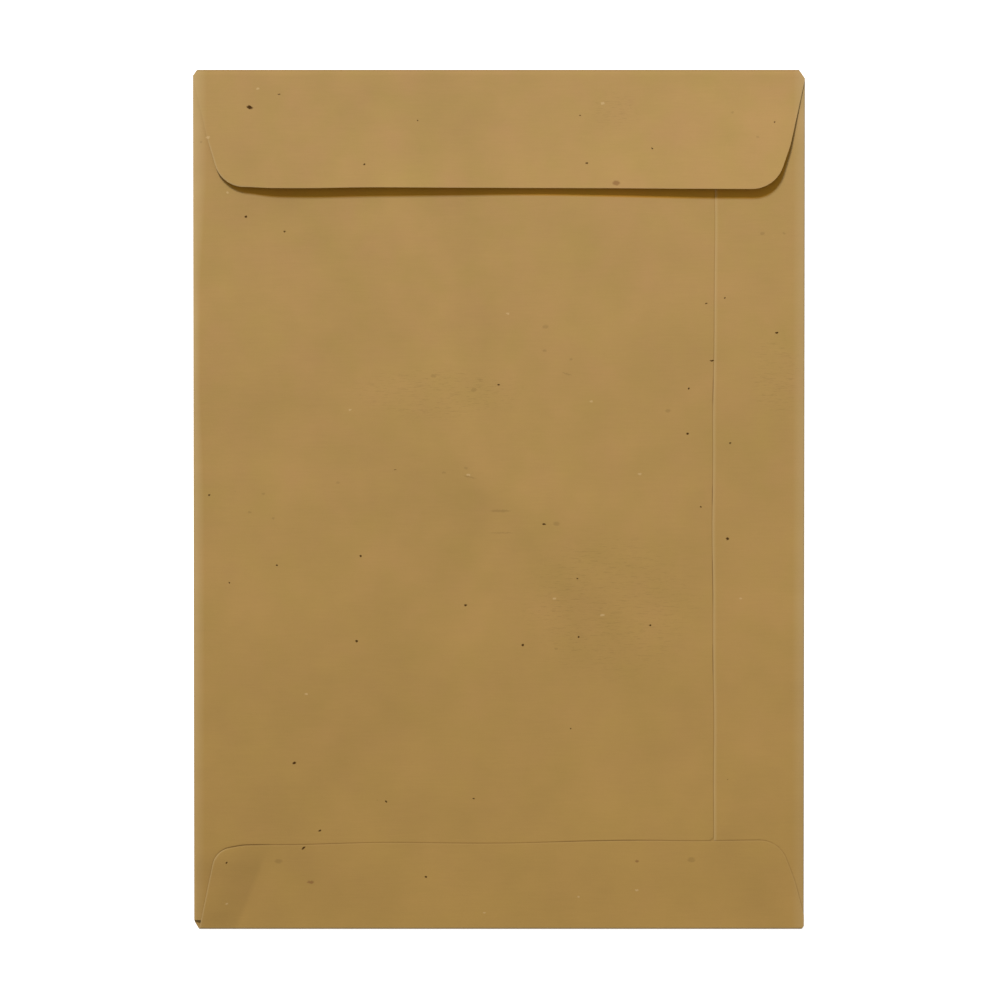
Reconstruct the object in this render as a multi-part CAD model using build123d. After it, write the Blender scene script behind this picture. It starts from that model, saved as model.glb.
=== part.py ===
from build123d import *

import math
import os
from collections import namedtuple

# A pocket envelope for A4 papers, folded from one sheet of brown kraft paper.
#
# It lies on its plain front, with its back and its flap upwards. X runs across the mouth, Y from the
# bottom fold to the flap's fold, and Z up from the surface that it lies on. The origin is on that surface,
# under the middle.
#
# One sheet makes it all: the front, two side panels that turn over at the side folds and are glued where
# they overlap, a bottom flap that turns up and is glued over both, and a top flap that is folded down and
# springs a little way open. Glued layers touch and are one solid. Millimetres and degrees.

# The sheet and the finished size
width = 230.0
height = 323.5
paper = 0.15  # thickness of the sheet
pocket_gap = 1.0  # between the front's inner face and the back's, in the empty pocket

# Each corner of the blank is cut away, this far across and this far along, so that no two folds meet
cut_top_left = (1.9, 2.3)
cut_top_right = (2.6, 3.4)
cut_bottom_left = (1.9, 3.4)
cut_bottom_right = (1.0, 1.2)

# The side seam: the narrow panel lies over the margin of the wide one
seam_inset = 34.5  # from the side fold to the narrow panel's cut edge
seam_overlap = 14.0
seam_relief = 0.3  # from the foot of the wide panel's step to that edge
step_angle = 20.0  # slope of that step, which is one thickness deep

# The bottom flap. Heights are up from the bottom fold and insets are in from the nearer side fold
bottom_root_left = 1.9
bottom_left = (8.2, 29.8, 8.0)  # inset, height and rounding of its left corner
bottom_shoulder = (18.8, 31.8, 25.0)  # the same where its cut edge flattens
bottom_right = (9.4, 33.7, 10.8)
bottom_waist = (3.5, 18.4, 40.0)  # where its right side leans further in
bottom_root_right = 5.3  # height at which its right side leaves the fold

# The top flap. Depths are down from the top fold and insets are in from the nearer side fold
flap_waist_left = (5.6, 26.3, 40.0)  # inset, depth and rounding
flap_left = (9.6, 39.5, 11.0)
flap_shoulder = (15.6, 44.2, 11.0)
flap_right = (11.4, 45.0, 12.5)
flap_waist_right = (5.6, 28.6, 40.0)
flap_clearance = 0.1  # over the back, where the flap leaves its fold
flap_root_angle = 1.0  # how far open it is at the fold
flap_tip_angle = 6.0  # and at its free edge

# Each fold's radius, to the middle of the paper, follows from the layers that it goes round
side_fold = (pocket_gap + paper) / 2
bottom_fold = (pocket_gap + 2 * paper) / 2
top_fold = (pocket_gap + 2 * paper + flap_clearance) / 2

left, right = -width / 2, width / 2
bottom, top = -height / 2, height / 2
spare = 2.0  # how far a strip or a cutting outline runs past what it is trimmed to
tall = 20.0  # well over the height of everything

Move = namedtuple("Move", "length radius turn")


def run(length):
    """A flat stretch of the sheet."""
    return Move(length, 0.0, 0.0)


def bend(radius, turn):
    """A round fold, turning left if turn is positive. The radius is to the middle of the paper."""
    return Move(0.0, radius, turn)


def strip(start, heading, moves):
    """The sheet seen edge on, as a face in the X-Y plane, from start along heading and through the moves."""
    here = Vector(*start)
    edges = {1: [], -1: []}  # the outlines left and right of the sheet's middle
    for move in moves:
        ahead = Vector(1, 0).rotate(Axis.Z, heading)
        to_left = ahead.rotate(Axis.Z, 90)
        if move.turn:
            way = math.copysign(1, move.turn)
            centre = here + to_left * way * move.radius
            for side in edges:
                radius = move.radius - way * side * paper / 2
                edges[side].append(CenterArc(centre, radius, heading - 90 * way, move.turn))
            here = centre - (to_left * way * move.radius).rotate(Axis.Z, move.turn)
            heading += move.turn
        else:
            there = here + ahead * move.length
            for side in edges:
                across = to_left * side * paper / 2
                edges[side].append(Line(here + across, there + across))
            here = there
    first = Line(edges[1][0] @ 0, edges[-1][0] @ 0)
    last = Line(edges[1][-1] @ 1, edges[-1][-1] @ 1)
    return make_face([*edges[1], *edges[-1], first, last])


def across_x(section, low, high):
    """A section drawn over X and Z, drawn out along Y from low to high."""
    plane = Plane(origin=(0, high, 0), x_dir=(1, 0, 0), z_dir=(0, -1, 0))
    return extrude(plane * section, high - low)


def along_x(section):
    """A section drawn over Y and Z, drawn out along X past both sides of the envelope."""
    plane = Plane(origin=(left - spare, 0, 0), x_dir=(0, 1, 0), z_dir=(1, 0, 0))
    return extrude(plane * section, width + 2 * spare)


def prism(points, rounding=()):
    """A cutting outline over X and Y, taller than everything. rounding pairs a corner with its radius."""
    face = make_face(Polyline(*points, close=True))
    for corner, radius in rounding:
        nearest = face.vertices().sort_by_distance((*corner, 0))[0]
        face = fillet(nearest, radius)
    return extrude(Plane.XY.offset(-tall / 2) * face, tall)


def silhouette():
    """The finished outline: a rectangle with its corners cut away."""
    return prism(
        [
            (left + cut_bottom_left[0], bottom),
            (right - cut_bottom_right[0], bottom),
            (right, bottom + cut_bottom_right[1]),
            (right, top - cut_top_right[1]),
            (right - cut_top_right[0], top),
            (left + cut_top_left[0], top),
            (left, top - cut_top_left[1]),
            (left, bottom + cut_bottom_left[1]),
        ]
    )


def front():
    """The front panel, flat on the table between the four folds."""
    half = width / 2 - side_fold - paper / 2
    low = bottom + bottom_fold + paper / 2
    high = top - top_fold - paper / 2
    outline = Polyline((-half, low), (half, low), (half, high), (-half, high), close=True)
    return extrude(make_face(outline), paper)


def left_side():
    """The left side fold and the wide panel, which steps down to a margin under the narrow panel's edge."""
    start = left + side_fold + paper / 2
    step_radius = paper / (2 * (1 - math.cos(math.radians(step_angle))))
    step_length = 2 * step_radius * math.sin(math.radians(step_angle))
    foot = right - seam_inset - seam_relief
    section = strip(
        (start, paper / 2),
        180,
        [
            bend(side_fold, -180),
            run(foot - step_length - start),
            bend(step_radius, -step_angle),
            bend(step_radius, step_angle),
            run(seam_relief + seam_overlap),
        ],
    )
    return across_x(section, bottom + cut_bottom_left[1], top - cut_top_left[1])


def right_side():
    """The right side fold and the narrow panel, which is glued over the wide panel's margin."""
    start = right - side_fold - paper / 2
    section = strip(
        (start, paper / 2),
        0,
        [bend(side_fold, 180), run(start - (right - seam_inset))],
    )
    return across_x(section, bottom + cut_bottom_right[1], top - cut_top_right[1])


def bottom_flap():
    """The bottom fold and the flap that is glued up over both side panels."""
    start = bottom + bottom_fold + paper / 2
    depth = max(bottom_left[1], bottom_shoulder[1], bottom_right[1])
    section = strip((start, paper / 2), 180, [bend(bottom_fold, -180), run(depth + spare)])
    root = left + bottom_root_left
    corners = [
        (left + bottom_left[0], bottom + bottom_left[1]),
        (left + bottom_shoulder[0], bottom + bottom_shoulder[1]),
        (right - bottom_right[0], bottom + bottom_right[1]),
        (right - bottom_waist[0], bottom + bottom_waist[1]),
    ]
    foot = [
        (right, bottom + bottom_root_right),
        (right, bottom - spare),
        (root, bottom - spare),
        (root, bottom),
    ]
    radii = (bottom_left[2], bottom_shoulder[2], bottom_right[2], bottom_waist[2])
    return along_x(section) & prism([*corners, *foot], zip(corners, radii))


def top_flap():
    """The top fold and the flap, which curves up from the back to its free edge."""
    start = top - top_fold - paper / 2
    depth = max(flap_left[1], flap_shoulder[1], flap_right[1])
    opening = flap_tip_angle - flap_root_angle
    curl = (depth + spare) / math.radians(opening)
    section = strip(
        (start, paper / 2),
        0,
        [bend(top_fold, 180 - flap_root_angle), bend(curl, -opening)],
    )
    corners = [
        (left + flap_waist_left[0], top - flap_waist_left[1]),
        (left + flap_left[0], top - flap_left[1]),
        (left + flap_shoulder[0], top - flap_shoulder[1]),
        (right - flap_right[0], top - flap_right[1]),
        (right - flap_waist_right[0], top - flap_waist_right[1]),
    ]
    root = [
        (right, top - cut_top_right[1]),
        (right, top + spare),
        (left, top + spare),
        (left, top - cut_top_left[1]),
    ]
    radii = (flap_waist_left[2], flap_left[2], flap_shoulder[2], flap_right[2], flap_waist_right[2])
    return along_x(section) & prism([*corners, *root], zip(corners, radii))


def envelope():
    """The whole folded and glued sheet."""
    ends = (front() + bottom_flap() + top_flap()) & silhouette()
    return ends + left_side() + right_side()


os.makedirs("parts", exist_ok=True)
export_step(envelope(), "parts/envelope.step")
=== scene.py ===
# %% [markdown]
# A pocket envelope of brown kraft paper, lying on its plain front with its back and its open flap upwards.
# The real one is a single sheet: a machine cuts a blank, folds it on four lines and glues the laps.
# The same order is followed here. A flat grid is cut to the blank's outline, each vertex is carried round
# its fold, and only then does the sheet get its thickness. That keeps it one piece of paper, with true round
# folds and laps that lie on each other, where separate slabs would look like card.
# Lengths in this file are millimetres until they go into Blender, which works in metres.

import math

import bmesh
import bpy
import numpy as np
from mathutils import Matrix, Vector, noise


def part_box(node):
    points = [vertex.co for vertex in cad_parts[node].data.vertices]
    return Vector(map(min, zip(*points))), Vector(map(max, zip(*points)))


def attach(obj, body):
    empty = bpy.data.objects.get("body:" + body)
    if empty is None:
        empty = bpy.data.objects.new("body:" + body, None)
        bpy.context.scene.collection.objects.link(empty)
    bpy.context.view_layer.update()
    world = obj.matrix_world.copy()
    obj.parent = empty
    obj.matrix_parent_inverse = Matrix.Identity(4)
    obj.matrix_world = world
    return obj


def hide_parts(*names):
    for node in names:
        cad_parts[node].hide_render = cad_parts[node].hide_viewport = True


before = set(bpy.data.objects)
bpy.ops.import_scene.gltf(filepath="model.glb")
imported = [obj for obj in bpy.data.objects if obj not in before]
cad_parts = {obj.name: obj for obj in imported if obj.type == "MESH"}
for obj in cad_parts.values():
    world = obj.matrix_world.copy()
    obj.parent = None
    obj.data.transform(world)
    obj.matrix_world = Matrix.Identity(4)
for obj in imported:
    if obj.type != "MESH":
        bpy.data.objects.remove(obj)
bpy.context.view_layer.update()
MM = 0.001
low, high = (Vector(corner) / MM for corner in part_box("envelope"))
left, bottom = low.x, low.y
right, top = high.x, high.y
print("outline", round(right - left, 1), "by", round(top - bottom, 1), "mm, height", round(high.z, 2))

# %% [markdown]
# The sheet's own sizes come first. Each fold is a half turn whose radius follows from the layers that it
# goes round: the side folds hold the pocket, the bottom fold goes round the side panels too, and the top fold
# goes round everything with a little to spare. A fold starts where the flat front panel meets the round of
# the bend. Where two folds meet, a corner is cut away, this far across and this far along.

# %% Sizes of the sheet and its folds
paper = 0.15
pocket_gap = 1.0
flap_clearance = 0.1
side_radius = (pocket_gap + paper) / 2
bottom_radius = (pocket_gap + 2 * paper) / 2
top_radius = (pocket_gap + 2 * paper + flap_clearance) / 2
side_start = right - side_radius - paper / 2
bottom_start = -bottom - bottom_radius - paper / 2
top_start = top - top_radius - paper / 2

top_apex = top_start + math.pi * top_radius / 2  # the middle of each fold, on the blank
bottom_apex = -(bottom_start + math.pi * bottom_radius / 2)
side_apex = side_start + math.pi * side_radius / 2

cut_top_left = (1.9, 2.3)
cut_top_right = (2.6, 3.4)
cut_bottom_left = (1.9, 3.4)
cut_bottom_right = (1.0, 1.2)

seam = right - 34.5  # the narrow side panel's cut edge
seam_overlap = 14.0
top_edge = top - 45.0  # the top flap's cut edge
flap_root_angle = math.radians(1.0)
flap_tip_angle = math.radians(6.0)
curl_length = 47.0  # the length of paper over which the flap opens from one angle to the other
bottom_strip = 36.0  # uncut paper that is left for the bottom flap, past its fold


def over(start, radius, reach):
    """How far out on the blank a point lies that ends, past the fold, at reach from the middle."""
    return start + math.pi * radius + start - reach


blank_left = -over(side_start, side_radius, -(seam + seam_overlap))
blank_right = over(side_start, side_radius, seam)
blank_top = over(top_start, top_radius, top_edge)
blank_bottom = -over(bottom_start, bottom_radius, -bottom - bottom_strip)
print("blank", round(blank_right - blank_left, 1), "by", round(blank_top - blank_bottom, 1), "mm")

# %% [markdown]
# The blank starts as a flat grid as large as the uncut sheet. Its squares are about 2.5 mm, which is fine
# enough for slow waves in the paper. The four folds need closer lines, because a half turn of half a
# millimetre's radius would be a flat ribbon otherwise, so each one is bisected along its length.

# %% A grid for the uncut sheet
CELL = 2.5
bpy.ops.object.select_all(action="DESELECT")
size_x, size_y = blank_right - blank_left, blank_top - blank_bottom
bpy.ops.mesh.primitive_grid_add(
    x_subdivisions=round(size_x / CELL),
    y_subdivisions=round(size_y / CELL),
    size=1,
)
envelope = bpy.context.object
envelope.name = envelope.data.name = "kraft_envelope"
bpy.ops.object.mode_set(mode="EDIT")
bpy.ops.mesh.select_all(action="SELECT")
bpy.ops.transform.resize(value=(size_x, size_y, 1))
bpy.ops.transform.translate(value=((blank_left + blank_right) / 2, (blank_bottom + blank_top) / 2, 0))


def cut(where, point, outward, clear=True):
    """Cut the faces whose middle passes where, through point and square to outward.

    What lies outward of the cut is cleared when clear is on.
    """
    bpy.ops.mesh.select_all(action="DESELECT")
    sheet = bmesh.from_edit_mesh(envelope.data)
    for face in sheet.faces:
        face.select_set(where(face.calc_center_median()))
    bmesh.update_edit_mesh(envelope.data)
    bpy.ops.mesh.bisect(
        plane_co=(*point, 0),
        plane_no=(*outward, 0),
        clear_outer=clear,
        threshold=1e-5,
    )


def anywhere(spot):
    return True


BEND_STEPS = 8
for way, start, radius in ((1, side_start, side_radius), (-1, side_start, side_radius)):
    for step in range(BEND_STEPS + 1):
        across = way * (start + math.pi * radius * step / BEND_STEPS)
        cut(anywhere, (across, 0), (1, 0), clear=False)
for way, start, radius in ((1, top_start, top_radius), (-1, bottom_start, bottom_radius)):
    for step in range(BEND_STEPS + 1):
        up = way * (start + math.pi * radius * step / BEND_STEPS)
        cut(anywhere, (0, up), (0, 1), clear=False)
print("uncut sheet", len(bmesh.from_edit_mesh(envelope.data).faces), "faces")

# %% [markdown]
# The two flaps have sloping sides and round corners. Their outlines are drawn first, where the flaps lie once
# folded. Each is a few corners, and an arc rounds every corner that has a radius.

# %% Outlines of the flaps, where they lie once folded
ARC_STEPS = 12


def corner_arc(before, corner, after, radius):
    """The arc that rounds a corner, as points."""
    before, corner, after = Vector(before), Vector(corner), Vector(after)
    back, on = (before - corner).normalized(), (after - corner).normalized()
    half = back.angle(on) / 2
    centre = corner + (back + on).normalized() * radius / math.sin(half)
    first = corner + back * radius / math.tan(half) - centre
    turn = math.copysign(math.pi - 2 * half, first.x * on.y - first.y * on.x)
    arc = []
    for step in range(ARC_STEPS + 1):
        angle = turn * step / ARC_STEPS
        arm_x = first.x * math.cos(angle) - first.y * math.sin(angle)
        arm_y = first.x * math.sin(angle) + first.y * math.cos(angle)
        arc.append(centre + Vector((arm_x, arm_y)))
    return arc


def rounded(corners):
    """A flap's folded outline, from corners given as across, up and radius."""
    spots = [(across, up) for across, up, radius in corners]
    points = []
    for number, (across, up, radius) in enumerate(corners):
        if radius:
            points += corner_arc(spots[number - 1], spots[number], spots[number + 1], radius)
        else:
            points.append(Vector((across, up)))
    return points


bottom_outline = rounded(
    [
        (left + cut_bottom_left[0], bottom_apex, 0),
        (left + 8.2, bottom + 29.8, 8.0),
        (left + 18.8, bottom + 31.8, 25.0),
        (right - 9.4, bottom + 33.7, 10.8),
        (right - 3.5, bottom + 18.4, 40.0),
        (right, bottom + 5.3, 0),
        (right, bottom + cut_bottom_right[1], 0),
        (right - cut_bottom_right[0], bottom_apex, 0),
    ]
)
top_outline = rounded(
    [
        (left + cut_top_left[0], top_apex, 0),
        (left, top - cut_top_left[1], 0),
        (left + 5.6, top - 26.3, 40.0),
        (left + 9.6, top - 39.5, 11.0),
        (left + 15.6, top - 44.2, 11.0),
        (right - 11.4, top_edge, 12.5),
        (right - 5.6, top - 28.6, 40.0),
        (right, top - cut_top_right[1], 0),
        (right - cut_top_right[0], top_apex, 0),
    ]
)
print("outline points", len(bottom_outline), "and", len(top_outline))

# %% [markdown]
# The die then cuts the blank. The outlines are convex, so a row of straight cuts along each one, each
# clearing what lies beyond it, leaves a smooth edge with no stray lines inside, which a boolean would leave.
# A corner of the blank goes where two folds meet, or the sheet would bunch up there.

# %% Cut the blank
left_end = (bottom + cut_bottom_left[1], top - cut_top_left[1])  # the side panels' ends
right_end = (bottom + cut_bottom_right[1], top - cut_top_right[1])
for way, (low_end, high_end) in ((-1, left_end), (1, right_end)):

    def side(spot, way=way):
        return way * spot.x > side_apex

    cut(side, (0, low_end), (0, -1))
    cut(side, (0, high_end), (0, 1))


def bottom_end(spot):
    return spot.y < bottom_apex


def top_end(spot):
    return spot.y > top_apex


def cut_outline(where, outline, apex, inside):
    """Clear what lies outside each edge of a convex outline, given in its folded place."""
    for here, there in zip(outline, outline[1:]):
        here, there = Vector((here.x, 2 * apex - here.y)), Vector((there.x, 2 * apex - there.y))
        along = (there - here).normalized()
        outward = Vector((along.y, -along.x))
        if outward.dot(inside - here) > 0:
            outward.negate()
        cut(where, here, outward)


cut_outline(bottom_end, bottom_outline, bottom_apex, Vector((0, blank_bottom + 20)))
cut_outline(top_end, top_outline, top_apex, Vector((0, blank_top - 20)))

CORNER = 9.0  # how far round a corner of the front panel its cut may reach
corner_cuts = [
    ((left + cut_top_left[0], top_apex), (-side_apex, left_end[1])),
    ((right - cut_top_right[0], top_apex), (side_apex, right_end[1])),
    ((left + cut_bottom_left[0], bottom_apex), (-side_apex, left_end[0])),
    ((right - cut_bottom_right[0], bottom_apex), (side_apex, right_end[0])),
]
for here, there in corner_cuts:
    here, there = Vector(here), Vector(there)
    along = (there - here).normalized()
    outward = Vector((along.y, -along.x))
    if outward.dot(here) < 0:
        outward.negate()

    def near(spot, here=here):
        on_front = abs(spot.x) < side_apex and bottom_apex < spot.y < top_apex
        return on_front and (spot.xy - here).length < CORNER

    cut(near, here, outward)

bpy.ops.mesh.select_all(action="DESELECT")
sheet = bmesh.from_edit_mesh(envelope.data)
for face in sheet.faces:
    spot = face.calc_center_median()
    face.select_set(abs(spot.x) > side_apex + 0.01 and not bottom + 1 < spot.y < top - 2)
bmesh.update_edit_mesh(envelope.data)
bpy.ops.mesh.delete(type="FACE")
bpy.ops.mesh.select_all(action="SELECT")
bpy.ops.mesh.remove_doubles(threshold=0.02)
bpy.ops.object.mode_set(mode="OBJECT")
print("die-cut blank", len(envelope.data.polygons), "faces")

# %% [markdown]
# Folding comes next. A point of the blank that lies past the start of a fold goes round the bend's arc and
# then back over the panel below. This is plain geometry on each vertex: it keeps every distance along the
# paper, so the sheet is neither stretched nor squeezed, as paper can't be. Extruding and spinning each edge
# would give the same bends, but the cut outline would have to be made again on every panel.

# %% Fold the blank
count = len(envelope.data.vertices)
flat = np.empty(count * 3)
envelope.data.vertices.foreach_get("co", flat)
flat = flat.reshape(-1, 3)
u, v = flat[:, 0], flat[:, 1]
on_bottom = v < -bottom_start
on_top = v > top_start
on_body = ~(on_bottom | on_top)
on_left = on_body & (u < -side_start)
on_right = on_body & (u > side_start)


def turn_over(along, start, radius):
    """Reach from the middle, and height over the front panel, of points this far along the blank."""
    beyond = np.maximum(along - start, 0)
    angle = np.minimum(beyond / radius, math.pi)
    reach = np.minimum(along, start) + radius * np.sin(angle) - np.maximum(beyond - math.pi * radius, 0)
    return reach, radius * (1 - np.cos(angle))


reach, side_rise = turn_over(np.abs(u), side_start, side_radius)
side_rise *= on_body
x = np.where(on_body, np.sign(u) * reach, u)
y = v.copy()
end_rise = np.zeros(count)
y[on_bottom], end_rise[on_bottom] = turn_over(-v[on_bottom], bottom_start, bottom_radius)
y[on_bottom] *= -1
y[on_top], end_rise[on_top] = turn_over(v[on_top], top_start, top_radius)
z = paper / 2 + side_rise + end_rise
print("folded outline", x.min().round(2), x.max().round(2), y.min().round(2), y.max().round(2))

# %% [markdown]
# Paper that has been handled is never flat. The back panels are glued to each other, so one slow wave moves
# them and the bottom flap together. It dies out at the folds and at the mouth, where the layers are held.
# Under the seam, the wide panel steps down by one thickness, and the narrow panel's margin lies on it.

# %% Settle the layers
def ease(value):
    """A smooth step from 0 to 1 as value goes from 0 to 1."""
    value = np.clip(value, 0, 1)
    return value * value * (3 - 2 * value)


def wave(scale, seed):
    """Slow smooth noise over the sheet, from about -1 to 1."""
    spots = zip(x / scale, y / scale)
    return np.array([noise.noise(Vector((a, b, seed))) for a, b in spots]) * 1.6


held = ease((right - np.abs(x) - 2) / 22) * ease((y - bottom - 3) / 25) * ease((top - 14 - y) / 22)
swell = held * (0.35 + 0.32 * wave(75, 3.7) + 0.13 * wave(31, 8.1))
back = on_left | on_right | on_bottom
z[back] += swell[back]

step_down = paper * ease((x - (seam - 1.1)) / 0.8)
z[on_left] -= step_down[on_left]
print("back's swell", swell[back].min().round(2), "to", swell[back].max().round(2), "mm")

# %% [markdown]
# A cut edge never runs quite straight on a folded envelope. Each one wanders by a few tenths of a millimetre.
# Only the paper near the edge moves, so the folds stay where they are.

# %% Wandering edges
def meander(along, length, crest):
    """A slow wave of height 1 along an edge, with a crest at one place."""
    return np.cos(2 * math.pi * (along - crest) / length)


seam_drift = 0.25 + 0.3 * meander(y, 190, -100) + 0.1 * meander(y, 47, 12) + 0.2 * ease((y - 60) / 30)
bottom_drift = 0.33 * meander(x, 92, -45) * ease((92 - np.abs(x)) / 30)
top_drift = -0.45 * ease((-45 - x) / 30) * ease((x + 96) / 12) - 0.1 * ease((x - 40) / 30)
near_seam = np.where(on_right & (side_rise > 1.9 * side_radius), ease(1 - (x - seam) / 12), 0)
near_bottom = np.where(on_bottom & (end_rise > 1.9 * bottom_radius), ease((y - bottom - 22) / 8), 0)
near_top = np.where(on_top & (end_rise > 1.9 * top_radius), ease((top - y - 34) / 8), 0)
print("seam wanders", seam_drift.min().round(2), "to", seam_drift.max().round(2), "mm")

# %% [markdown]
# The top flap springs open from its fold along a slow curve, a little higher at some places of its edge than
# at others, and its left corner lies lower. The left fold is soft and slopes over a few millimetres, and the
# right one is pressed tighter. The bottom flap's left corner has a soft crease and lifts a little beyond it.

# %% Open flap, sloping sides and the creased corner
past_fold = np.clip(top_start - y, 0, curl_length)
curl = (flap_tip_angle - flap_root_angle) / curl_length
spring = past_fold * math.tan(flap_root_angle) + curl * past_fold**2 / 2
unevenness = 0.9 + 0.1 * meander(x, 140, -63) + 0.07 * ease((x - 84) / 24)
tight_corner = 1 - 0.4 * ease((left + 34 - x) / 26)
lift = spring * np.minimum(unevenness, 1) * tight_corner
turned = on_top & (end_rise > 1.99 * top_radius)
z[turned] += lift[turned]

folded = on_left | on_right | on_top | on_bottom
round_fold = np.where(on_left | on_right, side_rise / (2 * side_radius), end_rise / (2 * top_radius))
for way, slope_width, depth in ((-1, 3.4, 0.5), (1, 3.0, 0.15)):
    inward = np.where(way * x > 0, right - np.abs(x), right)
    drop = depth * (1 - ease(inward / slope_width))
    z -= drop * np.where(folded, round_fold, 0)

crease_spot = (-98.1, -160.3)  # a soft crease across the bottom flap's left corner passes here
crease_out = Vector((0.93, -0.37)).normalized()
facet = (x - crease_spot[0]) * crease_out.x + (y - crease_spot[1]) * crease_out.y
lifted = 0.07 * np.maximum(-facet, 0) * ease((facet + 22) / 14) * ease((y - bottom - 1) / 6)
z[on_bottom] += (lifted * ease((x - left - 3) / 6))[on_bottom]
print("heights", z.min().round(2), z.max().round(2))

# %% [markdown]
# Four values are stored on the vertices for the finish to use. Three are distances: how far a point lies
# inside its own panel's cut edge, how far outside the edge of a panel that lies over it, and how far outside
# the place that the top flap shades, where the finish paints the shadow's colour. A distance runs evenly
# across a face, so the material can draw lines a third of a millimetre wide with it on squares many times as
# large.
# The fourth says how much an edge is painted paler: partly real rubbing, partly a painted highlight where the
# lamp catches a cut edge.

# %% Distances to the cut edges
def to_outline(outline, right_by=0, up_by=0):
    """Distance from each vertex to an open outline that is moved right and up, negative inside it."""
    nearest = np.full(count, 1e9)
    beyond = np.full(count, -1e9)
    middle = np.mean([tuple(point) for point in outline], axis=0)
    for here, there in zip(outline, outline[1:]):
        along = there - here
        across, up = x - right_by - here.x, y - up_by - here.y
        share = np.clip((across * along.x + up * along.y) / along.length_squared, 0, 1)
        nearest = np.minimum(nearest, np.hypot(across - share * along.x, up - share * along.y))
        outward = Vector((along.y, -along.x)).normalized()
        if (middle[0] - here.x) * outward.x + (middle[1] - here.y) * outward.y > 0:
            outward.negate()
        beyond = np.maximum(beyond, across * outward.x + up * outward.y)
    return np.where(beyond > 0, nearest, -nearest)


FAR = 50.0  # stands for nowhere near an edge
under_bottom_flap = to_outline(bottom_outline, up_by=bottom_drift)
# A cut edge's rubbed band also carries its painted highlight.
FLAP_RUB = 0.65  # how far in the flaps' cut edges are rubbed, and then the side panels'
SIDE_RUB = 1.3
inside = np.full(count, FAR)
inside[on_bottom] = -to_outline(bottom_outline)[on_bottom] / FLAP_RUB
inside[on_top] = -to_outline(top_outline)[on_top] / FLAP_RUB
inside[on_left] = (left_end[1] - y)[on_left] / SIDE_RUB
inside[on_right] = np.minimum(x - seam, right_end[1] - y)[on_right] / SIDE_RUB
outside = np.full(count, FAR)
outside[on_left] = np.minimum(seam + seam_drift - x, under_bottom_flap)[on_left]
outside[on_right] = under_bottom_flap[on_right]
shade = np.full(count, FAR)
SHADE_RIGHT = 0.4  # how far right the flap's shadow falls, for each millimetre that the flap is open
SHADE_DOWN = 1.33
in_shade = to_outline(top_outline, right_by=SHADE_RIGHT * lift, up_by=top_drift - SHADE_DOWN * lift)
shade[on_left | on_right] = in_shade[on_left | on_right]
# Painted highlight as well as wear: edges that face the lamp, the flap's left side and the seam, get more.
wear_and_highlight = np.full(count, 0.2)
wear_and_highlight[on_top] = 0.25 + 1.1 * (ease((left + 30 - x) / 16) * ease((top - y - 24) / 5))[on_top]
wear_and_highlight[on_bottom] = 0.2 + 0.9 * ease((left + 16 - x) / 8)[on_bottom]
wear_and_highlight[on_right] = 1.0
x += seam_drift * near_seam
y += bottom_drift * near_bottom + top_drift * near_top
stored = {"inside_edge": inside, "under_edge": outside, "edge_wear_and_highlight": wear_and_highlight, "flap_shade": shade}
for name, values in stored.items():
    layer = envelope.data.attributes.new(name, "FLOAT", "POINT")
    layer.data.foreach_set("value", np.clip(values, -FAR, FAR).astype(np.float32))
    print(name, values.min().round(2), "to", values.max().round(2))
settled = np.column_stack((x, y, z)) * MM
envelope.data.vertices.foreach_set("co", settled.ravel())
envelope.data.update()

# %% [markdown]
# The sheet is still without thickness. Solidify gives it half its thickness on each side of the middle, so
# the laps end up lying on each other. The new faces keep the values stored above. Shading stays smooth except
# at the cut edges, where the paper's thickness shows.

# %% Give the paper its thickness
bpy.ops.object.select_all(action="DESELECT")
bpy.context.view_layer.objects.active = envelope
envelope.select_set(True)
bpy.ops.object.mode_set(mode="EDIT")
bpy.ops.mesh.select_all(action="SELECT")
bpy.ops.mesh.normals_make_consistent(inside=False)
bpy.ops.object.mode_set(mode="OBJECT")
solidify = envelope.modifiers.new("thickness", "SOLIDIFY")
solidify.thickness = paper * MM
solidify.offset = 0
solidify.use_rim = True
bpy.ops.object.modifier_apply(modifier=solidify.name)
bpy.ops.object.shade_smooth_by_angle(angle=math.radians(40))
triangles = sum(len(face.vertices) - 2 for face in envelope.data.polygons)
sheet_area = sum(face.area for face in envelope.data.polygons) / 2
print("paper", triangles, "triangles,", round(sheet_area, 4), "square metres on one side")

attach(envelope, "root")
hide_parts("envelope")

# %% [markdown]
# The finish is unbleached kraft. It isn't one brown: the pulp settles in clouds, some a little pink and some
# a little green, long fibres run across the sheet, and specks of bark stay in it. Folds and cut edges are
# painted paler, partly for rubbing and partly as painted highlights, and other places carry painted shade and
# painted light. Each effect that is used more than once is a node group with its own inputs, so that the
# material reads as a list of them. All of them work on Object coordinates in millimetres or on the values
# stored above.

# %% Helpers for node trees
def add(tree, kind, inputs=None, **settings):
    """A new node with its settings, and with values or links for the inputs that are named."""
    node = tree.nodes.new(kind)
    for name, value in settings.items():
        setattr(node, name, value)
    for name, value in (inputs or {}).items():
        if isinstance(value, bpy.types.NodeSocket):
            tree.links.new(value, node.inputs[name])
        else:
            node.inputs[name].default_value = value
    return node


def maths(tree, operation, *values):
    """A Math node's result."""
    return add(tree, "ShaderNodeMath", dict(enumerate(values)), operation=operation).outputs[0]


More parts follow.
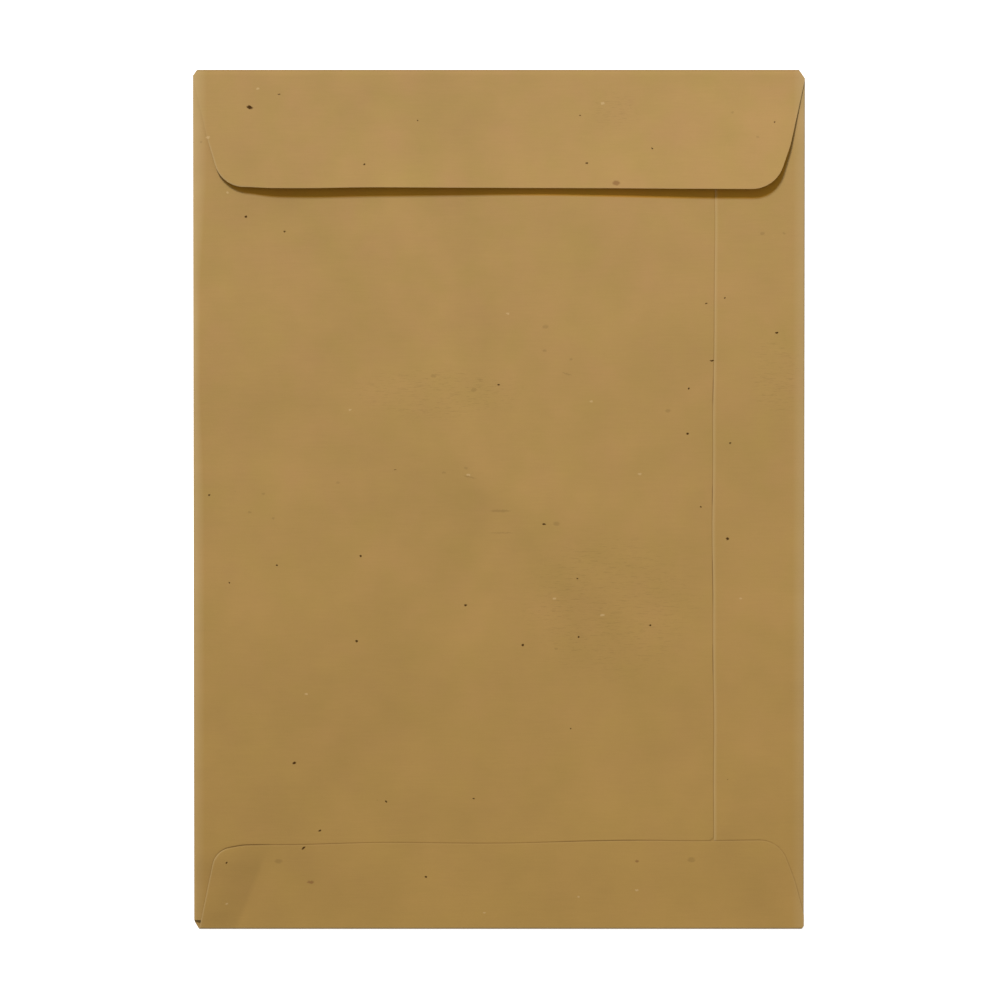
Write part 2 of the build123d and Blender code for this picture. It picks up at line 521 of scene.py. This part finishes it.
def new_group(name, inputs, outputs):
    """An empty node group with named sockets; returns its tree, its inputs and its output node."""
    tree = bpy.data.node_groups.new(name, "ShaderNodeTree")
    for label, kind, value in inputs:
        socket = tree.interface.new_socket(name=label, in_out="INPUT", socket_type="NodeSocket" + kind)
        if value is not None:
            socket.default_value = value
    for label, kind in outputs:
        tree.interface.new_socket(name=label, in_out="OUTPUT", socket_type="NodeSocket" + kind)
    return tree, tree.nodes.new("NodeGroupInput").outputs, tree.nodes.new("NodeGroupOutput").inputs


def use(tree, group, **inputs):
    """A placed node group's outputs."""
    return add(tree, "ShaderNodeGroup", inputs, node_tree=group).outputs


# %% [markdown]
# The pulp's pattern comes from two groups. One makes soft round clouds and, at a small spread, the grain. The
# other makes streaks along X, which is the way that most fibres lie.

# %% Clouds, streaks and grain
clouds, given, result = new_group(
    "pulp_clouds",
    [("Place", "Vector", None), ("Spread", "Float", 40.0), ("Seed", "Float", 0.0)],
    [("Cloud", "Float")],
)
pattern = add(
    clouds,
    "ShaderNodeTexNoise",
    {
        "Vector": given["Place"],
        "W": given["Seed"],
        "Scale": maths(clouds, "DIVIDE", 1.0, given["Spread"]),
        "Detail": 3.0,
        "Roughness": 0.55,
    },
    noise_dimensions="4D",
)
PATTERN_GAIN = 4.0  # brings a noise to about -1 to 1
centred = maths(clouds, "SUBTRACT", pattern.outputs["Fac"], 0.5)
clouds.links.new(maths(clouds, "MULTIPLY", centred, PATTERN_GAIN), result["Cloud"])

streaks, given, result = new_group(
    "pulp_fibres",
    [("Place", "Vector", None), ("Length", "Float", 6.0), ("Width", "Float", 0.5)],
    [("Streak", "Float")],
)
stretch = add(
    streaks,
    "ShaderNodeCombineXYZ",
    {
        "X": maths(streaks, "DIVIDE", 1.0, given["Length"]),
        "Y": maths(streaks, "DIVIDE", 1.0, given["Width"]),
        "Z": 1.0,
    },
)
stretched = add(
    streaks, "ShaderNodeVectorMath", {0: given["Place"], 1: stretch.outputs[0]}, operation="MULTIPLY"
)
pattern = add(
    streaks,
    "ShaderNodeTexNoise",
    {"Vector": stretched.outputs[0], "Scale": 1.0, "Detail": 4.0, "Roughness": 0.6, "Distortion": 0.4},
)
centred = maths(streaks, "SUBTRACT", pattern.outputs["Fac"], 0.5)
streaks.links.new(maths(streaks, "MULTIPLY", centred, PATTERN_GAIN), result["Streak"])
print("pulp groups", clouds.name, "and", streaks.name)

# %% [markdown]
# Specks of bark are scattered by a Voronoi pattern: each cell holds one speck or none. The marks that are
# listed one by one use the group below it, a soft ellipse with its own centre, size and turn.

# %% Flecks and placed marks
flecks, given, result = new_group(
    "bark_flecks",
    [("Place", "Vector", None), ("Spacing", "Float", 12.0), ("Size", "Float", 0.3), ("Share", "Float", 0.3)],
    [("Mask", "Float")],
)
cells = add(
    flecks,
    "ShaderNodeTexVoronoi",
    {"Vector": given["Place"], "Scale": maths(flecks, "DIVIDE", 1.0, given["Spacing"]), "Randomness": 1.0},
    voronoi_dimensions="3D",
)
chance = add(flecks, "ShaderNodeSeparateColor", {"Color": cells.outputs["Color"]})
chosen = maths(flecks, "LESS_THAN", chance.outputs[0], given["Share"])
fleck_size = maths(flecks, "MULTIPLY", chance.outputs[1], given["Size"])
fleck_size = maths(flecks, "MULTIPLY", fleck_size, chosen)
gap = maths(flecks, "MULTIPLY", cells.outputs["Distance"], given["Spacing"])
fade = add(
    flecks,
    "ShaderNodeMapRange",
    {
        "Value": maths(flecks, "SUBTRACT", gap, fleck_size),
        "From Min": 0.12,
        "From Max": 0.0,
        "To Min": 0.0,
        "To Max": 1.0,
    },
)
flecks.links.new(maths(flecks, "MULTIPLY", fade.outputs[0], chosen), result["Mask"])

mark, given, result = new_group(
    "placed_mark",
    [
        ("Place", "Vector", None),
        ("Centre", "Vector", None),
        ("Turn", "Vector", None),
        ("Size", "Vector", None),
    ],
    [("Mask", "Float")],
)
local = add(
    mark,
    "ShaderNodeMapping",
    {
        "Vector": given["Place"],
        "Location": given["Centre"],
        "Rotation": given["Turn"],
        "Scale": given["Size"],
    },
    vector_type="TEXTURE",
)
gap = add(mark, "ShaderNodeVectorMath", {0: local.outputs[0]}, operation="LENGTH").outputs["Value"]
MARK_FADE = {"From Min": 1.25, "From Max": 0.6, "To Min": 0.0, "To Max": 1.0}  # in shares of its size
fade = add(mark, "ShaderNodeMapRange", {"Value": gap, **MARK_FADE}, interpolation_type="SMOOTHSTEP")
mark.links.new(fade.outputs[0], result["Mask"])
print("mark groups", flecks.name, "and", mark.name)

# %% [markdown]
# A cut edge shows as a thin line. The group turns a distance from the edge into a mask that is full on the
# edge and fades out over a width, and into the roll of the worn edge for the relief.

# %% Lines along the cut edges
edge_line, given, result = new_group(
    "edge_line",
    [("Distance", "Float", 0.0), ("Width", "Float", 0.5)],
    [("Mask", "Float"), ("Roll", "Float")],
)
nearness = add(
    edge_line,
    "ShaderNodeMapRange",
    {
        "Value": given["Distance"],
        "From Min": 0.0,
        "From Max": given["Width"],
        "To Min": 1.0,
        "To Max": 0.0,
    },
).outputs[0]
edge_line.links.new(nearness, result["Mask"])
edge_line.links.new(maths(edge_line, "MULTIPLY", nearness, nearness), result["Roll"])
print("groups", [group.name for group in bpy.data.node_groups])

# %% [markdown]
# The marks that tell this envelope from any other are listed one by one: where the larger specks lie, how
# large they are, and which way they run. A dot is across, up and half its width. Any other mark is across,
# up, half its length, half its width and its turn in degrees. The back's marks are kept off the front and the
# inside by a mask that asks whether a face looks up.

# %% Specks, scuffs and loose edges on the back
DARK_DOTS = [
    (-50.5, 126.0, 0.4), (-30.5, 142.5, 0.3), (30.5, 144.5, 0.3), (57.5, 132.0, 0.3), (103.5, 141.9, 0.3),
    (57.0, -47.1, 0.35), (-95.0, 106.5, 0.4), (-80.5, 101.0, 0.35), (85.0, 76.0, 0.3), (-0.1, 43.4, 0.35),
    (71.4, 42.0, 0.35), (71.0, 25.0, 0.4), (87.0, 21.5, 0.4), (-109.0, 2.0, 0.4), (86.0, -14.5, 0.45),
    (76.0, -2.5, 0.3), (-52.0, -21.0, 0.4), (-83.5, -24.5, 0.3), (-101.5, -31.0, 0.3), (-12.5, -39.5, 0.45),
    (29.5, -29.5, 0.3), (-53.5, -53.0, 0.45), (9.0, -54.5, 0.45), (30.0, -51.5, 0.3), (27.0, -86.0, 0.3),
    (-9.5, -112.5, 0.3), (-42.5, -113.5, 0.4), (-27.5, -142.0, 0.35),
]
DARK_DASHES = [
    (-93.5, 147.5, 1.2, 0.7, -15), (-82.5, 152.5, 0.6, 0.25, 0), (33.0, 126.5, 0.5, 0.35, 20),
    (78.0, 74.0, 0.55, 0.25, 20), (104.5, 63.0, 0.6, 0.4, 20), (80.0, 52.5, 0.9, 0.3, 0),
    (-39.0, 11.5, 0.5, 0.2, 0), (17.0, -9.0, 0.65, 0.4, 10), (-77.0, -99.0, 0.8, 0.5, 10),
    (-67.5, -124.5, 0.6, 0.35, 10), (-73.5, -131.0, 0.9, 0.35, 35), (-102.5, -136.5, 0.5, 0.3, 60),
]
PALE_DOTS = [
    (-109.3, 136.3, 0.5), (39.0, 149.0, 0.5), (-56.0, 34.0, 0.35), (-11.5, 9.5, 0.45), (21.0, -37.0, 0.45),
    (91.0, -37.0, 0.35), (-72.5, -73.0, 0.35), (-102.5, -152.0, 0.35), (-5.5, -155.5, 0.3),
    (30.0, -149.5, 0.3), (52.0, -147.0, 0.35), (-90.5, 154.5, 0.35), (-102.0, 115.6, 0.35),
    (3.4, 70.1, 0.4), (34.7, 37.2, 0.4), (53.0, 9.9, 0.45), (38.9, -43.3, 0.5),
]
FAINT_DOTS = [
    (17.5, 65.2, 0.75), (17.2, 56.2, 0.5), (27.1, 53.0, 0.35), (-24.6, 46.7, 0.65), (-9.4, 41.5, 0.75),
    (-20.7, 10.4, 0.45), (-12.4, 12.1, 0.5), (21.7, -8.8, 0.8), (63.5, 33.6, 0.7), (87.6, 145.6, 0.4),
    (97.1, 136.4, 0.35), (99.0, 100.2, 0.6), (107.2, 100.3, 0.4), (-111.9, 134.6, 0.35), (-88.6, 2.4, 0.4),
    (-93.7, -4.5, 0.4), (-84.9, -6.8, 0.4), (-60.5, 6.6, 0.45), (21.6, -55.9, 0.45), (72.5, -135.5, 0.95),
    (-83.0, -136.0, 0.95),
]
FAINT_DASHES = [
    (25.6, 47.5, 1.9, 0.3, -15), (-10.9, 8.7, 2.6, 0.3, -12), (1.0, -12.3, 4.2, 0.25, 0),
    (0.4, -4.0, 4.0, 0.5, 0),
]
SCUFFED = [
    (-23.0, 40.0, 32.0, 10.0, 0), (42.0, -40.0, 34.0, 28.0, 0), (43.0, 146.0, 10.0, 8.0, 0),
    (104.0, 47.0, 9.0, 17.0, 0),
]
# The loose edges below mark where the painted gap shade along an overlying cut edge is darker.
LOOSE_EDGES = [
    (80.5, 41.0, 3.0, 5.0, 0), (80.5, 2.0, 3.0, 3.5, 0), (80.5, -30.5, 3.0, 9.0, 0),
    (80.5, -60.0, 3.0, 6.0, 0), (38.0, -129.0, 18.0, 4.0, 0), (-96.0, -131.0, 10.0, 5.0, 0),
]
RUST_MARKS = [(44.0, 119.0, 1.5, 0.9, 0), (52.0, -136.0, 0.7, 0.5, 0), (-71.0, -144.0, 1.3, 0.6, 0)]


def placed_marks(tree, place, marks):
    """One mask for a list of marks."""
    mask = None
    for across, up, length, width, turn in marks:
        one = use(
            tree,
            mark,
            Place=place,
            Centre=(across, up, 0),
            Turn=(0, 0, math.radians(turn)),
            Size=(length, width, 1),
        )["Mask"]
        mask = one if mask is None else maths(tree, "MAXIMUM", mask, one)
    return mask


def placed_dots(tree, place, dots, stretch):
    """One mask for a list of small round marks, drawn out along X by stretch."""
    squeeze = (1 / stretch, 1, 1)
    squeezed = add(tree, "ShaderNodeVectorMath", {0: place, 1: squeeze}, operation="MULTIPLY").outputs[0]
    nearest = None
    for across, up, size in dots:
        centre = (across / stretch, up, 0)
        away = add(tree, "ShaderNodeVectorMath", {0: squeezed, 1: centre}, operation="DISTANCE")
        away = maths(tree, "DIVIDE", away.outputs["Value"], size)
        nearest = away if nearest is None else maths(tree, "MINIMUM", nearest, away)
    fade = add(
        tree,
        "ShaderNodeMapRange",
        {"Value": nearest, **MARK_FADE},
        interpolation_type="SMOOTHSTEP",
    )
    return fade.outputs[0]


def facet_mask(tree, spot):
    """Where the bottom flap's left corner gets painted shade, up to the soft crease that runs across it."""
    across = maths(tree, "SUBTRACT", spot["X"], crease_spot[0])
    up = maths(tree, "SUBTRACT", spot["Y"], crease_spot[1])
    across = maths(tree, "MULTIPLY", across, -crease_out.x)
    past = maths(tree, "MULTIPLY_ADD", up, -crease_out.y, across)
    soft = add(tree, "ShaderNodeMapRange", {"Value": past, "From Min": -0.4, "From Max": 1.4})
    edges = {"Value": spot["Y"], "From Min": bottom + 31, "From Max": bottom + 24}
    below = add(tree, "ShaderNodeMapRange", edges)
    return maths(tree, "MULTIPLY", soft.outputs[0], below.outputs[0])


print(len(DARK_DOTS + DARK_DASHES), "dark marks,", len(PALE_DOTS), "pale,", len(RUST_MARKS), "rusty")

# %% [markdown]
# The material starts with what it can ask about a point: its place in millimetres, which way its face looks,
# and the values stored on the sheet. The place that the marks use is shaken a little, so that their outlines
# are ragged.

# %% The kraft material, and what it knows about a point
kraft = bpy.data.materials.new("kraft_paper")
kraft.use_nodes = True
tree = kraft.node_tree
tree.nodes.clear()
coordinates = add(tree, "ShaderNodeTexCoord")
place = add(
    tree,
    "ShaderNodeVectorMath",
    {0: coordinates.outputs["Object"], "Scale": 1 / MM},
    operation="SCALE",
).outputs[0]
spot = add(tree, "ShaderNodeSeparateXYZ", {0: place}).outputs
facing = add(tree, "ShaderNodeSeparateXYZ", {0: coordinates.outputs["Normal"]}).outputs
looks_up = maths(tree, "GREATER_THAN", facing["Z"], 0.3)
is_back = maths(tree, "MULTIPLY", looks_up, maths(tree, "GREATER_THAN", spot["Z"], 0.9))

flat_place = add(tree, "ShaderNodeCombineXYZ", {"X": spot["X"], "Y": spot["Y"]}).outputs[0]
ragged = add(tree, "ShaderNodeTexNoise", {"Vector": place, "Scale": 1.4, "Detail": 2.0}).outputs["Color"]


def vector_maths(operation, first, second):
    """A Vector Math node's result."""
    return add(tree, "ShaderNodeVectorMath", {0: first, 1: second}, operation=operation).outputs[0]


RAGGED_BY = (0.9, 0.9, 0.0)
jitter = vector_maths("MULTIPLY", vector_maths("SUBTRACT", ragged, (0.5, 0.5, 0.5)), RAGGED_BY)
uneven_place = vector_maths("ADD", flat_place, jitter)

tone = use(tree, clouds, Place=place, Spread=55.0, Seed=2.0)["Cloud"]
patch = use(tree, clouds, Place=place, Spread=16.0, Seed=5.0)["Cloud"]
tint = use(tree, clouds, Place=place, Spread=15.0, Seed=9.0)["Cloud"]
streak = use(tree, streaks, Place=place, Length=9.0, Width=0.55)["Streak"]
grain = use(tree, clouds, Place=place, Spread=0.55, Seed=1.0)["Cloud"]

inside_edge = add(tree, "ShaderNodeAttribute", attribute_name="inside_edge").outputs["Fac"]
under_edge = add(tree, "ShaderNodeAttribute", attribute_name="under_edge").outputs["Fac"]
edge_wear_and_highlight = add(tree, "ShaderNodeAttribute", attribute_name="edge_wear_and_highlight").outputs["Fac"]
flap_shade = add(tree, "ShaderNodeAttribute", attribute_name="flap_shade").outputs["Fac"]
lip = use(tree, edge_line, Distance=inside_edge, Width=1.0)
lip_wear_and_highlight = maths(tree, "MULTIPLY", lip["Mask"], edge_wear_and_highlight)
gutter = use(tree, edge_line, Distance=maths(tree, "ABSOLUTE", under_edge), Width=0.5)
print("point values", len(tree.nodes), "nodes")

# %% [markdown]
# The base colour runs from a greenish brown to a pinkish one in clouds, and is painted deeper towards the
# bottom, a painted shade for the lamp's falloff. The strip in the top flap's cast shadow is painted a warmer,
# deeper brown, a painted shadow colour. Clouds, streaks and grain then make it all a little lighter or
# darker, and the right side is painted a little lighter, a painted light gradient.

# %% Base colour
GREEN_KRAFT = (0.402, 0.258, 0.079, 1)
PINK_KRAFT = (0.430, 0.253, 0.093, 1)
PAINTED_FALLOFF_KRAFT = (0.402, 0.236, 0.058, 1)
WORN_AND_HIGHLIGHT_KRAFT = (0.530, 0.378, 0.180, 1)
PAINTED_SHADOW_BROWN = (1.14, 0.87, 0.2, 1)
# The bark colour below also serves as painted shade: in gaps, along the top fold and on the creased corner.
BARK_AND_PAINTED_SHADE = (0.050, 0.020, 0.005, 1)
# The rust colour below also paints shade on the top flap's cut faces.
RUST_AND_RIM_SHADE = (0.200, 0.085, 0.025, 1)
PALE_FIBRE = (0.640, 0.450, 0.220, 1)


def blend(factor, first, second):
    """A Mix node's colour."""
    node = add(tree, "ShaderNodeMix", data_type="RGBA")
    for slot, value in ((0, factor), (6, first), (7, second)):
        if isinstance(value, bpy.types.NodeSocket):
            tree.links.new(value, node.inputs[slot])
        else:
            node.inputs[slot].default_value = value
    return node.outputs[2]


def ramp(value, start, end, low=0.0, high=1.0):
    """A Map Range node's value."""
    node = add(
        tree,
        "ShaderNodeMapRange",
        {"Value": value, "From Min": start, "From Max": end, "To Min": low, "To Max": high},
    )
    return node.outputs[0]


colour = blend(ramp(tint, -0.9, 0.9), GREEN_KRAFT, PINK_KRAFT)
# Painted shade: darker and deeper in colour towards the bottom, standing in for the lamp's falloff.
colour = blend(ramp(spot["Y"], 150.0, -170.0, 0.0, 0.8), colour, PAINTED_FALLOFF_KRAFT)
# Painted shadow: the strip under the top flap's cast shadow is given a warmer, deeper brown.
painted_shadow_mask = maths(tree, "MULTIPLY", ramp(flap_shade, -0.05, -0.75), is_back)
colour = vector_maths("MULTIPLY", colour, blend(painted_shadow_mask, (1, 1, 1, 1), PAINTED_SHADOW_BROWN))
# Painted light: the ramp along X makes the right side lighter, standing in for the lamp's light.
light = maths(tree, "MULTIPLY_ADD", tone, 0.06, ramp(spot["X"], left, right, 0.975, 1.055))
for part, weight in ((patch, 0.036), (streak, 0.02), (grain, 0.012)):
    light = maths(tree, "MULTIPLY_ADD", part, weight, light)
colour = add(tree, "ShaderNodeVectorMath", {0: colour, "Scale": light}, operation="SCALE").outputs[0]
print("base colour", len(tree.nodes), "nodes")

# %% [markdown]
# The side folds, the bottom fold and the cut edges are painted paler: partly real rubbing, partly painted
# highlights where the lamp catches a rounded fold or a cut edge, and at the right and bottom folds painted
# highlights that lift the shade of slopes facing away from the lamp. The left fold's pale band is wide near
# the mouth and narrow below it. Where a panel's edge stands off the one below, the gap's shade is painted as
# a dark line, which is darkest at the loose stretches and fades where the bottom flap lies tight at its left
# side.
# The top fold's crest and the top flap's cut faces get painted shade, and so does the bottom flap's left
# corner.

# %% Rubbed folds and cut edges, with painted highlights and painted shade
from_left = maths(tree, "SUBTRACT", spot["X"], left)
from_right = maths(tree, "SUBTRACT", right, spot["X"])
from_top = maths(tree, "SUBTRACT", top, spot["Y"])
from_bottom = maths(tree, "SUBTRACT", spot["Y"], bottom)
# Painted highlight as well as rubbing: the left fold's pale band stands in for light caught on its round.
band_near_mouth = ramp(spot["Y"], top - 40, top - 80, 4.8, 2.2)
band_width = maths(tree, "ADD", band_near_mouth, ramp(spot["Y"], 40, 0, 0.0, 1.5))
into_band = maths(tree, "DIVIDE", maths(tree, "SUBTRACT", from_left, 0.6), band_width)
left_rub_and_highlight = ramp(maths(tree, "SUBTRACT", 1.0, into_band), 0.0, 1.0)
# The right fold's pale band is partly a painted highlight against the shade of its slope.
rub_and_highlight = maths(tree, "MAXIMUM", left_rub_and_highlight, ramp(from_right, 4.6, 0.2))
rub_and_highlight = maths(tree, "MULTIPLY", rub_and_highlight, ramp(patch, -1.6, 1.2, 0.4, 0.8))
rub_and_highlight = maths(tree, "MULTIPLY", rub_and_highlight, ramp(spot["Y"], -50.0, -120.0, 0.75, 0.42))
# The bottom fold is painted paler, partly rubbing and partly a painted highlight against its shade.
rub_and_highlight = maths(tree, "MAXIMUM", rub_and_highlight, ramp(from_bottom, 0.9, 0.2, 0.0, 0.5))
colour = blend(rub_and_highlight, colour, WORN_AND_HIGHLIGHT_KRAFT)
# The cut edges are painted paler: partly rubbing, partly a painted highlight where the lamp catches them.
colour = blend(maths(tree, "MULTIPLY", lip_wear_and_highlight, 0.42), colour, WORN_AND_HIGHLIGHT_KRAFT)
# Painted shade: a dark line beside an overlying cut edge stands in for the shade in the gap under it.
tight_left = ramp(spot["X"], left + 3, left + 14, 0.15, 1.0)
tight_painted_gap_shade = ramp(spot["Y"], 95, 60, 0.06, 0.2)
painted_gap_shade = maths(tree, "MULTIPLY_ADD", placed_marks(tree, flat_place, LOOSE_EDGES), 0.35, tight_painted_gap_shade)
painted_gap_shade = maths(tree, "MULTIPLY", painted_gap_shade, tight_left)
colour = blend(maths(tree, "MULTIPLY", gutter["Mask"], painted_gap_shade), colour, BARK_AND_PAINTED_SHADE)
# Painted shade: a dark line along the top fold's crest holds down the fold's highlight.
colour = blend(ramp(from_top, 0.9, 0.1, 0.0, 0.5), colour, BARK_AND_PAINTED_SHADE)
# Painted shade: the top flap's cut faces are painted a dark rusty brown.
painted_rim_shade = maths(tree, "LESS_THAN", maths(tree, "ABSOLUTE", facing["Z"]), 0.4)
painted_rim_shade = maths(tree, "MULTIPLY", painted_rim_shade, maths(tree, "GREATER_THAN", spot["Z"], 1.6))
colour = blend(maths(tree, "MULTIPLY", painted_rim_shade, 0.6), colour, RUST_AND_RIM_SHADE)
# Painted shade: the bottom flap's left corner is darkened up to its soft crease.
shaded_facet = maths(tree, "MULTIPLY", facet_mask(tree, spot), is_back)
colour = blend(maths(tree, "MULTIPLY", shaded_facet, 0.09), colour, BARK_AND_PAINTED_SHADE)
print("rubbed edges", len(tree.nodes), "nodes")

# %% [markdown]
# The specks and marks go on last. Fine hairlines show only inside a few scuffed patches.

# %% Specks and marks
specks = use(tree, flecks, Place=place, Spacing=17.0, Size=0.22, Share=0.35)["Mask"]
DARK_STRETCH = 1.25
PALE_STRETCH = 1.6
dark = placed_marks(tree, uneven_place, DARK_DASHES)
dark = maths(tree, "MAXIMUM", dark, placed_dots(tree, uneven_place, DARK_DOTS, DARK_STRETCH))
dark = maths(tree, "MAXIMUM", maths(tree, "MULTIPLY", dark, is_back), maths(tree, "MULTIPLY", specks, 0.5))
pale = maths(tree, "MULTIPLY", placed_dots(tree, uneven_place, PALE_DOTS, PALE_STRETCH), is_back)
rust = maths(tree, "MULTIPLY", placed_marks(tree, uneven_place, RUST_MARKS), is_back)
faint = placed_dots(tree, uneven_place, FAINT_DOTS, PALE_STRETCH)
faint = maths(tree, "MAXIMUM", faint, placed_marks(tree, uneven_place, FAINT_DASHES))
hairline = use(tree, streaks, Place=place, Length=3.0, Width=0.3)["Streak"]
scuff = maths(tree, "MULTIPLY", ramp(hairline, 0.2, 0.7), placed_marks(tree, flat_place, SCUFFED))
faint = maths(tree, "MULTIPLY", maths(tree, "MAXIMUM", faint, scuff), is_back)
colour = blend(maths(tree, "MULTIPLY", faint, 0.18), colour, BARK_AND_PAINTED_SHADE)
colour = blend(maths(tree, "MULTIPLY", rust, 0.6), colour, RUST_AND_RIM_SHADE)
colour = blend(maths(tree, "MULTIPLY", pale, 0.45), colour, PALE_FIBRE)
colour = blend(maths(tree, "MULTIPLY", dark, 0.95), colour, BARK_AND_PAINTED_SHADE)
print("specks and marks", len(tree.nodes), "nodes")

# %% [markdown]
# The relief is in millimetres: a worn cut edge rolls down, the paper dips beside an edge that lies over it,
# and the pulp is a few hundredths of a millimetre uneven. Bark is matt, so the specks have no sheen.

# %% Relief and surface
height = maths(tree, "MULTIPLY", maths(tree, "MULTIPLY", lip["Roll"], edge_wear_and_highlight), -0.1)
dip = maths(tree, "MULTIPLY", gutter["Roll"], tight_left)
height = maths(tree, "MULTIPLY_ADD", dip, -0.08, height)
for part, weight in ((grain, 0.004), (streak, 0.004), (patch, 0.02)):
    height = maths(tree, "MULTIPLY_ADD", part, weight, height)
relief = add(tree, "ShaderNodeBump", {"Height": height, "Distance": MM, "Strength": 1.0}).outputs[0]
paper_shader = add(
    tree,
    "ShaderNodeBsdfPrincipled",
    {
        "Base Color": colour,
        "Roughness": 0.88,
        "Specular IOR Level": ramp(dark, 0.0, 1.0, 0.25, 0.0),
        "Normal": relief,
    },
)
add(tree, "ShaderNodeOutputMaterial", {"Surface": paper_shader.outputs[0]})
envelope.data.materials.clear()
envelope.data.materials.append(kraft)
print("kraft material", len(tree.nodes), "nodes")

# %% [markdown]
# The envelope lies on a white table. One lamp stands at the far left, low enough for the open flap to throw a
# short shadow towards the near edge, and small enough for that shadow to have a firm edge. A pale sky fills
# the rest. The table and the sky look white to the camera without adding light to the paper, and the table
# still takes the envelope's shadow.

# %% Table, sky and lamp
def seen_directly(tree):
    """1 for rays from the camera, a mirror or a glass, and 0 for those that light things."""
    rays = add(tree, "ShaderNodeLightPath").outputs
    seen = maths(tree, "MAXIMUM", rays["Is Camera Ray"], rays["Is Glossy Ray"])
    return maths(tree, "MAXIMUM", seen, rays["Is Transmission Ray"])


def white_for_camera(tree, shader, strength):
    """The shader, plus white light that is only seen and lights nothing."""
    strength = maths(tree, "MULTIPLY", seen_directly(tree), strength)
    glow = add(tree, "ShaderNodeEmission", {"Strength": strength})
    return add(tree, "ShaderNodeAddShader", {0: shader, 1: glow.outputs[0]}).outputs[0]


bpy.ops.object.select_all(action="DESELECT")
bpy.ops.mesh.primitive_plane_add(size=6, location=(0, 0, -0.00005))
table = bpy.context.object
table.name = "table"
white = bpy.data.materials.new("white_table")
white.use_nodes = True
white.node_tree.nodes.clear()
matt = add(white.node_tree, "ShaderNodeBsdfDiffuse", {"Color": (0.8, 0.8, 0.8, 1)})
add(
    white.node_tree,
    "ShaderNodeOutputMaterial",
    {"Surface": white_for_camera(white.node_tree, matt.outputs[0], 0.8)},
)
table.data.materials.append(white)

scene = bpy.context.scene
sky = bpy.data.worlds.new("sky")
scene.world = sky
sky.use_nodes = True
sky.node_tree.nodes.clear()
SKY_LEVEL = 0.36
seen = seen_directly(sky.node_tree)
level = maths(sky.node_tree, "MULTIPLY_ADD", seen, 1 - SKY_LEVEL, SKY_LEVEL)
backdrop = add(sky.node_tree, "ShaderNodeBackground", {"Color": (1, 1, 1, 1), "Strength": level})
add(sky.node_tree, "ShaderNodeOutputWorld", {"Surface": backdrop.outputs[0]})

lamp_data = bpy.data.lights.new("lamp", "AREA")
lamp_data.shape = "DISK"
lamp_data.size = 0.5
lamp_data.energy = 66
LAMP_DISTANCE = 2.6
towards_lamp = Vector((-0.3, 1.0, 0.75)).normalized()
lamp = bpy.data.objects.new("lamp", lamp_data)
scene.collection.objects.link(lamp)
lamp.location = towards_lamp * LAMP_DISTANCE
lamp.rotation_euler = towards_lamp.to_track_quat("Z", "Y").to_euler()
print("lamp at", tuple(round(value, 2) for value in lamp.location))

# %% [markdown]
# The camera looks straight down from about a metre with a long lens. It leans by less than a degree, which
# makes the mouth end a hair wider than the bottom.

# %% Camera
VIEW_WIDTH = 376.3 * MM
VIEW_LEAN = math.radians(0.78)
camera_data = bpy.data.cameras.new("camera")
camera_data.lens = 100
camera_data.sensor_width = 36
camera_distance = VIEW_WIDTH * camera_data.lens / camera_data.sensor_width
aim = Vector((0.42, 0.09, 1.3)) * MM
camera = bpy.data.objects.new("camera", camera_data)
scene.collection.objects.link(camera)
camera.location = aim + Vector((0, math.sin(VIEW_LEAN), math.cos(VIEW_LEAN))) * camera_distance
camera.rotation_euler = (-VIEW_LEAN, 0, 0)
camera_data.clip_start = 0.01
camera_data.clip_end = 20
scene.camera = camera
scene.view_settings.view_transform = "Standard"
print("camera at", tuple(round(value, 3) for value in camera.location))
